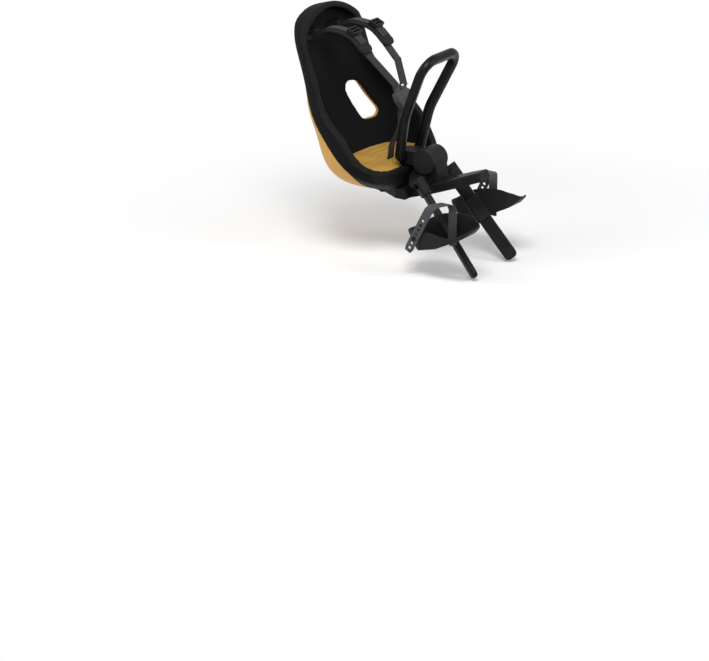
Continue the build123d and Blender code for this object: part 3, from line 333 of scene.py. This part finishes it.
def shell(name):
    """Yellow moulded shell, black from its front flange on."""
    finish = Finish(name, roughness=0.46, specular=0.3)
    past = finish.axis(0) - finish.axis(2).along(FLANGE_LINE)
    flange = past.rise(-FLANGE_BLUR, FLANGE_BLUR)
    patches = finish.noise(PATCHES, detail=3.0)
    yellow = finish.vary(patches, SHELL_YELLOW, dark=0.92, light=1.08)
    finish.feed("Base Color", finish.blend(flange, yellow, RIM_BLACK))
    finish.feed("Roughness", patches * 0.12 + flange * 0.2 + 0.40)
    skin = finish.noise(FINE_GRAIN, roughness=0.6) + finish.cells(FOAM_BEADS) * flange
    finish.grain(skin, SHELL_DEPTH)
    return finish.material


def foam(name):
    """Black moulded foam: fine beads, a paler sparkling rim and the rim's pressed crease."""
    finish = Finish(name, roughness=0.62, specular=0.06)
    side, height = abs(finish.axis(1)), finish.axis(2)
    off_rim = abs(finish.axis(0) - height.along(RIM_LINE))
    rim = 1 - off_rim.rise(*RIM_BREADTH)
    beads = finish.cells(FOAM_BEADS)
    speck = finish.noise(FINE_GRAIN, roughness=0.7).rise(*FOAM_SPECK)
    patches = finish.noise(FOAM_PATCHES, detail=3.0)
    liner = finish.vary(patches, LINER_BLACK, dark=0.8, light=1.2)
    band = finish.vary(speck, RIM_BLACK, dark=0.8, light=1.7)
    finish.feed("Base Color", finish.blend(rim, liner, band))
    finish.feed("Roughness", 0.66 - rim * 0.10 + patches * 0.08)
    off_crease = abs(side - height.along(CREASE_LINE))
    crease = (1 - off_crease.rise(*CREASE_BREADTH)) * rim * (1 - height.rise(*CREASE_TOP))
    finish.grain(beads * 0.35 + speck * 0.25 - crease * 3.0, FOAM_DEPTH)
    return finish.material


def knit(name, colour):
    """Soft knitted cover cloth."""
    finish = Finish(name, roughness=0.82, specular=0.08, sheen=0.05)
    loops = finish.axis(0).sine(LOOP_LENGTH) * finish.axis(1).sine(LOOP_WIDTH)
    fuzz = finish.noise(CLOTH_FUZZ, detail=3.0)
    patches = finish.noise(CLOTH_PATCHES, detail=3.0)
    tone = loops * 0.18 + fuzz * 0.4 + patches * 0.45
    finish.feed("Base Color", finish.vary(tone, colour, dark=0.80, light=1.16))
    finish.grain(loops * 0.5 + fuzz, KNIT_DEPTH)
    return finish.material


def webbing(name, colour):
    """Woven strap, with ribs along and across it, on the strap's own coordinates."""
    finish = Finish(name, roughness=0.72, specular=0.1, sheen=0.1, coordinates="UV")
    run, lie = finish.axis(0), finish.axis(1)
    weave = run.sine(WEFT) * lie.sine(WARP)
    selvage = abs(lie).rise(*SELVAGE)
    fuzz = finish.noise(WEB_FUZZ, detail=3.0)
    tone = weave * 0.3 + fuzz * 0.5 + 0.22 - selvage * 0.2
    finish.feed("Base Color", finish.vary(tone, colour, dark=0.60, light=1.40))
    finish.grain(weave + fuzz * 0.4 + selvage * 0.6, WEB_DEPTH)
    return finish.material


def steel(name, colour):
    """Plated steel with fine drawn lines."""
    finish = Finish(name, roughness=0.32)
    finish.shader.inputs["Metallic"].default_value = 1.0
    drawn = finish.noise(DRAWN_LINES)
    finish.feed("Base Color", finish.vary(drawn, colour, dark=0.85, light=1.0))
    finish.feed("Roughness", drawn * 0.15 + 0.24)
    return finish.material


MOULDED = (  # name, colour, roughness, specular level, pebbles by the metre, their depth
    ("shoulder_foam", PADDLE_GREY, 0.66, 0.08, 1600.0, 0.0003),
    ("black_plastic", PLASTIC_BLACK, 0.48, 0.09, 1700.0, 0.0002),
    ("grip_rubber", GRIP_BLACK, 0.27, 0.10, 900.0, 0.0001),
    ("buckle_grey", BUCKLE_GREY, 0.42, 0.12, 1800.0, 0.0002),
    ("strap_rubber", STRAP_GREY, 0.55, 0.15, 1500.0, 0.0002),
    ("cup_plastic", CUP_BLACK, 0.52, 0.10, 1400.0, 0.0003),
    ("thread", THREAD_GREY, 0.7, 0.1, 2600.0, 0.0002),
)
FINISHES = {
    "shell_yellow": shell("shell_yellow"),
    "foam_black": foam("foam_black"),
    "pad_yellow": knit("pad_yellow", PAD_YELLOW),
    "webbing": webbing("webbing", WEBBING_GREY),
    "steel": steel("steel", STEEL_GREY),
}
FINISHES |= {values[0]: moulded(*values) for values in MOULDED}


def link(name, shape):
    """Turns a bmesh into an object of the scene."""
    mesh = bpy.data.meshes.new(name)
    shape.to_mesh(mesh)
    shape.free()
    piece = bpy.data.objects.new(name, mesh)
    bpy.context.scene.collection.objects.link(piece)
    return piece


def freeze(piece):
    """Makes what the modifiers give the piece's own mesh."""
    bpy.context.view_layer.update()
    graph = bpy.context.evaluated_depsgraph_get()
    mesh = bpy.data.meshes.new_from_object(piece.evaluated_get(graph))
    piece.modifiers.clear()
    piece.data = mesh
    piece.data.name = piece.name


def even_copy(node, name, voxel, rounds):
    """A closed copy of a CAD solid in even quads, with its edges worn round."""
    shape = bmesh.new()
    shape.from_mesh(frame["nodes"][node].data)
    bmesh.ops.remove_doubles(shape, verts=shape.verts, dist=MERGE)
    piece = link(name, shape)
    remesh = piece.modifiers.new("even", "REMESH")
    remesh.mode = "VOXEL"
    remesh.voxel_size = voxel
    worn = piece.modifiers.new("worn", "SMOOTH")
    worn.factor = WEAR
    worn.iterations = rounds
    freeze(piece)
    return piece


def stuff(piece, held, pressure, cap):
    """Swells a pad between the points that are held, and keeps each point's move under the cap."""
    group = piece.vertex_groups.new(name="held")
    group.add(held, 1.0, "REPLACE")
    rest = [point.co.copy() for point in piece.data.vertices]
    cloth = piece.modifiers.new("stuffing", "CLOTH")
    cloth.settings.use_pressure = True
    cloth.settings.uniform_pressure_force = pressure
    cloth.settings.vertex_group_mass = "held"
    cloth.settings.effector_weights.gravity = 0.0
    cloth.point_cache.frame_end = STUFFING_STEPS
    for step in range(1, STUFFING_STEPS + 1):
        bpy.context.scene.frame_set(step)
    freeze(piece)
    bpy.context.scene.frame_set(1)
    for point, start in zip(piece.data.vertices, rest):
        move = point.co - start
        if move.length > cap:
            point.co = start + move.normalized() * cap


def smoothed(piece, levels=0):
    """Finishes a piece with smooth faces and, where it has levels, a subdivision surface."""
    piece.data.shade_smooth()
    if levels:
        surface = piece.modifiers.new("surface", "SUBSURF")
        surface.levels = surface.render_levels = levels


def other_side(piece):
    """The same piece on the left."""
    name = piece.name.replace("_right", "_left")
    mesh = piece.data.copy()
    mesh.name = name
    mesh.transform(Matrix.Scale(-1, 4, (0, 1, 0)))
    mesh.flip_normals()
    twin = bpy.data.objects.new(name, mesh)
    bpy.context.scene.collection.objects.link(twin)
    return twin


def fix(piece, body, slot, finish, *nodes):
    """Fixes a finished piece to a body, in the place of the CAD nodes it stands for."""
    piece.data.materials.clear()
    piece.data.materials.append(FINISHES[finish])
    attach(piece, body)
    if nodes:
        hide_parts(*nodes)


def ramp(value, low, high):
    """Goes smoothly from 0 to 1 between two values."""
    share = min(max((value - low) / (high - low), 0.0), 1.0)
    return share * share * (3 - 2 * share)


def make_seat_pad():
    """The quilted seat pad: a sewn hem round it, folds across it, stuffed between them."""
    pad = even_copy("seat_pad", "seat_cushion", PAD_VOXEL, PAD_ROUNDS)
    points = pad.data.vertices
    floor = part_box("seat_pad")[0].z + PAD_SKIN
    brink = KDTree(len(points))
    for point in points:
        if abs(point.normal.z) < PAD_TOP:
            brink.insert((point.co.x, point.co.y, 0.0), point.index)
    brink.balance()
    sewn = []
    for point in points:
        off = brink.find((point.co.x, point.co.y, 0.0))[2]
        bend = sum(reach * math.sin(point.co.y * rate) for reach, rate in FOLD_WAVES)
        fold = min(abs(point.co.x + bend - place) for place in PAD_FOLDS)
        depth = 1 - ramp(abs(off - PAD_HEM), *HEM_BREADTH)
        depth += FOLD_SHARE * (1 - ramp(fold, *FOLD_BREADTH)) * ramp(off, *FOLD_FADE)
        sewn.append(depth if point.normal.z > PAD_TOP else None)
    held = [number for number, depth in enumerate(sewn) if depth is None or depth > PAD_HELD]
    stuff(pad, held, PAD_PRESSURE, PAD_SWELL)
    for point, depth in zip(pad.data.vertices, sewn):
        point.co.z = max(point.co.z - (depth or 0.0) * PAD_STITCH_DEPTH, floor)
    smoothed(pad, 1)
    fix(pad, "seat", "pad_yellow", "pad_yellow", "seat_pad")


def make_shoulder_pads():
    """Foam shoulder pads that swell on both sides of the webbing that crosses them."""
    pad = even_copy("shoulder_pad_right", "shoulder_cushion_right", PADDLE_VOXEL, PADDLE_ROUNDS)
    groove = WEB_WIDTH / 2 + PADDLE_GROOVE
    held = [point.index for point in pad.data.vertices if abs(point.co.y + HARNESS_Y) < groove]
    stuff(pad, held, PADDLE_PRESSURE, PADDLE_SWELL)
    for piece, node in ((pad, "shoulder_pad_right"), (other_side(pad), "shoulder_pad_left")):
        smoothed(piece, 1)
        fix(piece, "seat", "shoulder_foam", "shoulder_foam", node)


def stations(corners, bends=()):
    """Points along a route, with its bends rounded."""
    corners = [Vector(corner) for corner in corners]
    places = [corners[0], corners[0].lerp(corners[1], END_SHARE)]
    for before, corner, after, radius in zip(corners, corners[1:], corners[2:], bends):
        way, onward = (corner - before).normalized(), (after - corner).normalized()
        swing = way.angle(onward)
        entry = corner - way * radius * math.tan(swing / 2)
        axis = way.cross(onward).normalized()
        centre = entry + axis.cross(way) * radius
        steps = max(2, round(swing / BEND_STEP))
        for step in range(steps + 1):
            turn = Matrix.Rotation(swing * step / steps, 3, axis)
            places.append(centre + turn @ (entry - centre))
    return [*places, corners[-1].lerp(places[-1], END_SHARE), corners[-1]]


def across_strap(way):
    """The direction of a strap's width, as level as it can be."""
    return (Vector((0, 1, 0)) - way * way.y).normalized()


def lay_strap(name, *runs):
    """Webbing: for each run a woven edge is drawn out along its stations, then thickened."""
    shape = bmesh.new()
    weave = shape.loops.layers.uv.new("weave")
    thick = shape.verts.layers.deform.verify()
    for places, thickness in runs:
        across = across_strap((places[1] - places[0]).normalized())
        row = [shape.verts.new(places[0] + across * share * WEB_WIDTH / 2) for share in WEB_EDGES]
        edges = [shape.edges.new(pair) for pair in zip(row, row[1:])]
        for point in row:
            point[thick][0] = thickness / DOUBLED_THICKNESS
        length = 0.0
        for before, place in zip(places, places[1:]):
            made = bmesh.ops.extrude_edge_only(shape, edges=edges)["geom"]
            points = {part for part in made if isinstance(part, bmesh.types.BMVert)}
            bmesh.ops.translate(shape, verts=list(points), vec=place - before)
            edges = [part for part in made if isinstance(part, bmesh.types.BMEdge)]
            edges = [edge for edge in edges if {*edge.verts} <= points]
            step = (place - before).length
            for face in {face for edge in edges for face in edge.link_faces}:
                for loop in face.loops:
                    ahead = loop.vert in points
                    lie = (loop.vert.co - (place if ahead else before)).dot(across)
                    loop[weave].uv = (length + step * ahead, lie)
            length += step
    strap = link(name, shape)
    strap.vertex_groups.new(name="thickness")
    body = strap.modifiers.new("body", "SOLIDIFY")
    body.thickness = DOUBLED_THICKNESS
    body.offset = 0.0
    body.vertex_group = "thickness"
    soft = strap.modifiers.new("soft", "SUBSURF")
    soft.levels = soft.render_levels = WEB_SUBDIVISION
    freeze(strap)
    return strap


def sew(name, rows, up):
    """Rows of stitches, each a small lens of thread."""
    shape = bmesh.new()
    for first, last in rows:
        way = (last - first).normalized()
        turn = Matrix((way, up.cross(way), up)).transposed().to_4x4()
        half = (last - first).length / STITCH_COUNT * STITCH_SHARE
        size = Matrix.Diagonal((half, STITCH_HALF_WIDTH, STITCH_HALF_HEIGHT, 1.0))
        for number in range(STITCH_COUNT):
            middle = first.lerp(last, (number + 0.5) / STITCH_COUNT)
            place = Matrix.Translation(middle) @ turn @ size
            bmesh.ops.create_icosphere(shape, subdivisions=1, radius=1.0, matrix=place)
    return link(name, shape)


def make_webbing():
    """The harness webbing, with its sewn ends."""
    root, sewn, end = Vector(CHEST_ROOT), Vector(CHEST_SEWN), Vector(CHEST_END)
    over = stations([(x, -HARNESS_Y, z) for x, z in SHOULDER_ROUTE], SHOULDER_BENDS)
    doubled = stations((root, sewn))
    single = stations((sewn + (sewn - end).normalized() * TUCK, end))
    down = stations([(x, 0, z) for x, z in CROTCH_ROUTE], CROTCH_BENDS)
    shoulder = lay_strap("shoulder_webbing_right", (over, WEB_THICKNESS))
    chest = lay_strap("chest_webbing_right", (doubled, DOUBLED_THICKNESS), (single, WEB_THICKNESS))
    crotch = lay_strap("crotch_webbing", (down, WEB_THICKNESS))
    way = (sewn - root).normalized()
    across = across_strap(way)
    up = across.cross(way)
    up = up if up.z > 0 else -up
    middles = [sewn - way * back + up * DOUBLED_THICKNESS / 2 for back in STITCH_ROWS]
    rows = [(middle - across * STITCH_REACH, middle + across * STITCH_REACH) for middle in middles]
    thread = sew("chest_stitching_right", rows, up)
    for piece, finish, node in (
        (shoulder, "webbing", "shoulder_strap_"),
        (chest, "webbing", "chest_strap_"),
        (thread, "thread", None),
    ):
        for copy, side in ((piece, "right"), (other_side(piece), "left")):
            smoothed(copy)
            fix(copy, "seat", "webbing", finish, *([node + side] if node else []))
    smoothed(crotch)
    fix(crotch, "seat", "webbing", "webbing", "crotch_strap")


def make_liner():
    """The foam liner with soft edges, and a hip wing that stands proud of each side wall."""
    liner = even_copy("foam_liner", "foam_bucket", LINER_VOXEL, LINER_ROUNDS)
    foot, top = Vector(WING_LOW), Vector(WING_HIGH)
    fore = Vector((top.y - foot.y, foot.x - top.x)).normalized()
    facing = [point.normal.y for point in liner.data.vertices]
    for point, sideways in zip(liner.data.vertices, facing):
        inward = -1 if point.co.y > 0 else 1
        off = (Vector((point.co.x, point.co.z)) - foot).dot(fore)
        share = ramp(off, *WING_START) * ramp(sideways * inward, *WING_FACING)
        share *= ramp(point.co.z, *WING_BASE) * (1 - ramp(point.co.z, *WING_TOP))
        share *= 1 - ramp(off, *WING_FADE)
        point.co.y += WING_PROUD * share * inward
    smoothed(liner)
    fix(liner, "seat", "foam_black", "foam_black", "foam_liner")


def make_foot_rests():
    """The foot cups and their rubber straps, moulded with round edges."""
    for side in ("right", "left"):
        body = "foot_" + side
        strap = even_copy("foot_strap_" + side, "foot_band_" + side, BAND_VOXEL, BAND_ROUNDS)
        smoothed(strap)
        fix(strap, body, "strap_rubber", "strap_rubber", "foot_strap_" + side)
        cup = even_copy("foot_cup_" + side, "foot_rest_" + side, CUP_VOXEL, CUP_ROUNDS)
        smoothed(cup)
        fix(cup, body, "black_plastic", "cup_plastic", "foot_cup_" + side)


def dress_nodes():
    """Gives every node the finish of its material slot."""
    other = {"hub_cap_right": "cup_plastic", "hub_cap_left": "cup_plastic", "stem_screws": "black_plastic"}
    for part in frame["record"]["subparts"]:
        materials = frame["nodes"][part["node"]].data.materials
        materials.clear()
        materials.append(FINISHES[other.get(part["node"], part["material_slot"])])


def make_camera():
    """The photograph's camera."""
    flat = math.cos(CAMERA_PITCH)
    ahead = Vector((flat * math.cos(CAMERA_YAW), flat * math.sin(CAMERA_YAW), math.sin(CAMERA_PITCH)))
    level = ahead.cross(Vector((0, 0, 1))).normalized()
    upright = level.cross(ahead)
    right = level * math.cos(CAMERA_ROLL) + upright * math.sin(CAMERA_ROLL)
    above = upright * math.cos(CAMERA_ROLL) - level * math.sin(CAMERA_ROLL)
    data = bpy.data.cameras.new("camera")
    data.sensor_width = SENSOR
    data.lens = FOCAL_PIXELS / FRAME_WIDTH * SENSOR
    camera = bpy.data.objects.new("camera", data)
    turn = Matrix((right, above, -ahead)).transposed()
    camera.matrix_world = Matrix.Translation(CAMERA_PLACE) @ turn.to_4x4()
    bpy.context.scene.collection.objects.link(camera)
    bpy.context.scene.camera = camera


def make_lamps(middle):
    """Soft square lamps that face the seat."""
    for name, place, size, power in LAMPS:
        data = bpy.data.lights.new(name, "AREA")
        data.energy = power
        data.size = size
        lamp = bpy.data.objects.new(name, data)
        lamp.location = middle + Vector(place)
        lamp.rotation_euler = (-Vector(place)).to_track_quat("-Z", "Y").to_euler()
        bpy.context.scene.collection.objects.link(lamp)


def make_floor(height):
    """A pale floor that keeps the shadow and turns white away from it."""
    shape = bmesh.new()
    bmesh.ops.create_grid(shape, x_segments=1, y_segments=1, size=FLOOR_SIZE)
    bmesh.ops.translate(shape, verts=shape.verts, vec=(0, 0, height))
    floor = link("floor", shape)
    finish = Finish("floor", roughness=0.9)
    finish.shader.inputs["Base Color"].default_value = FLOOR_WHITE
    off = finish.node("ShaderNodeVectorMath", {"operation": "LENGTH"}, {0: finish.place}, output="Value")
    near = Signal(finish, finish.shader.outputs[0])
    glow = finish.node("ShaderNodeEmission", None, {"Color": WHITE, "Strength": 1.0})
    finish.show("Material Output", off.rise(*FLOOR_GLOW) * finish.white_rays(), near, glow)
    floor.data.materials.append(finish.material)


def make_surround():
    """A white surround that gives a plain level of light."""
    world = bpy.data.worlds.new("studio")
    world.use_nodes = True
    sky = Nodes(world.node_tree)
    light = sky.node("ShaderNodeBackground", None, {"Color": WHITE, "Strength": SURROUND_LIGHT})
    plain = sky.node("ShaderNodeBackground", None, {"Color": WHITE, "Strength": 1.0})
    sky.show("World Output", sky.white_rays(), light, plain)
    bpy.context.scene.world = world


low, high = cad_box
dress_nodes()
make_camera()
make_floor(low.z - FLOOR_GAP)
make_surround()
make_lamps((low + high) / 2)
make_liner()
make_seat_pad()
make_shoulder_pads()
make_webbing()
make_foot_rests()
bpy.context.scene.view_settings.view_transform = "Standard"
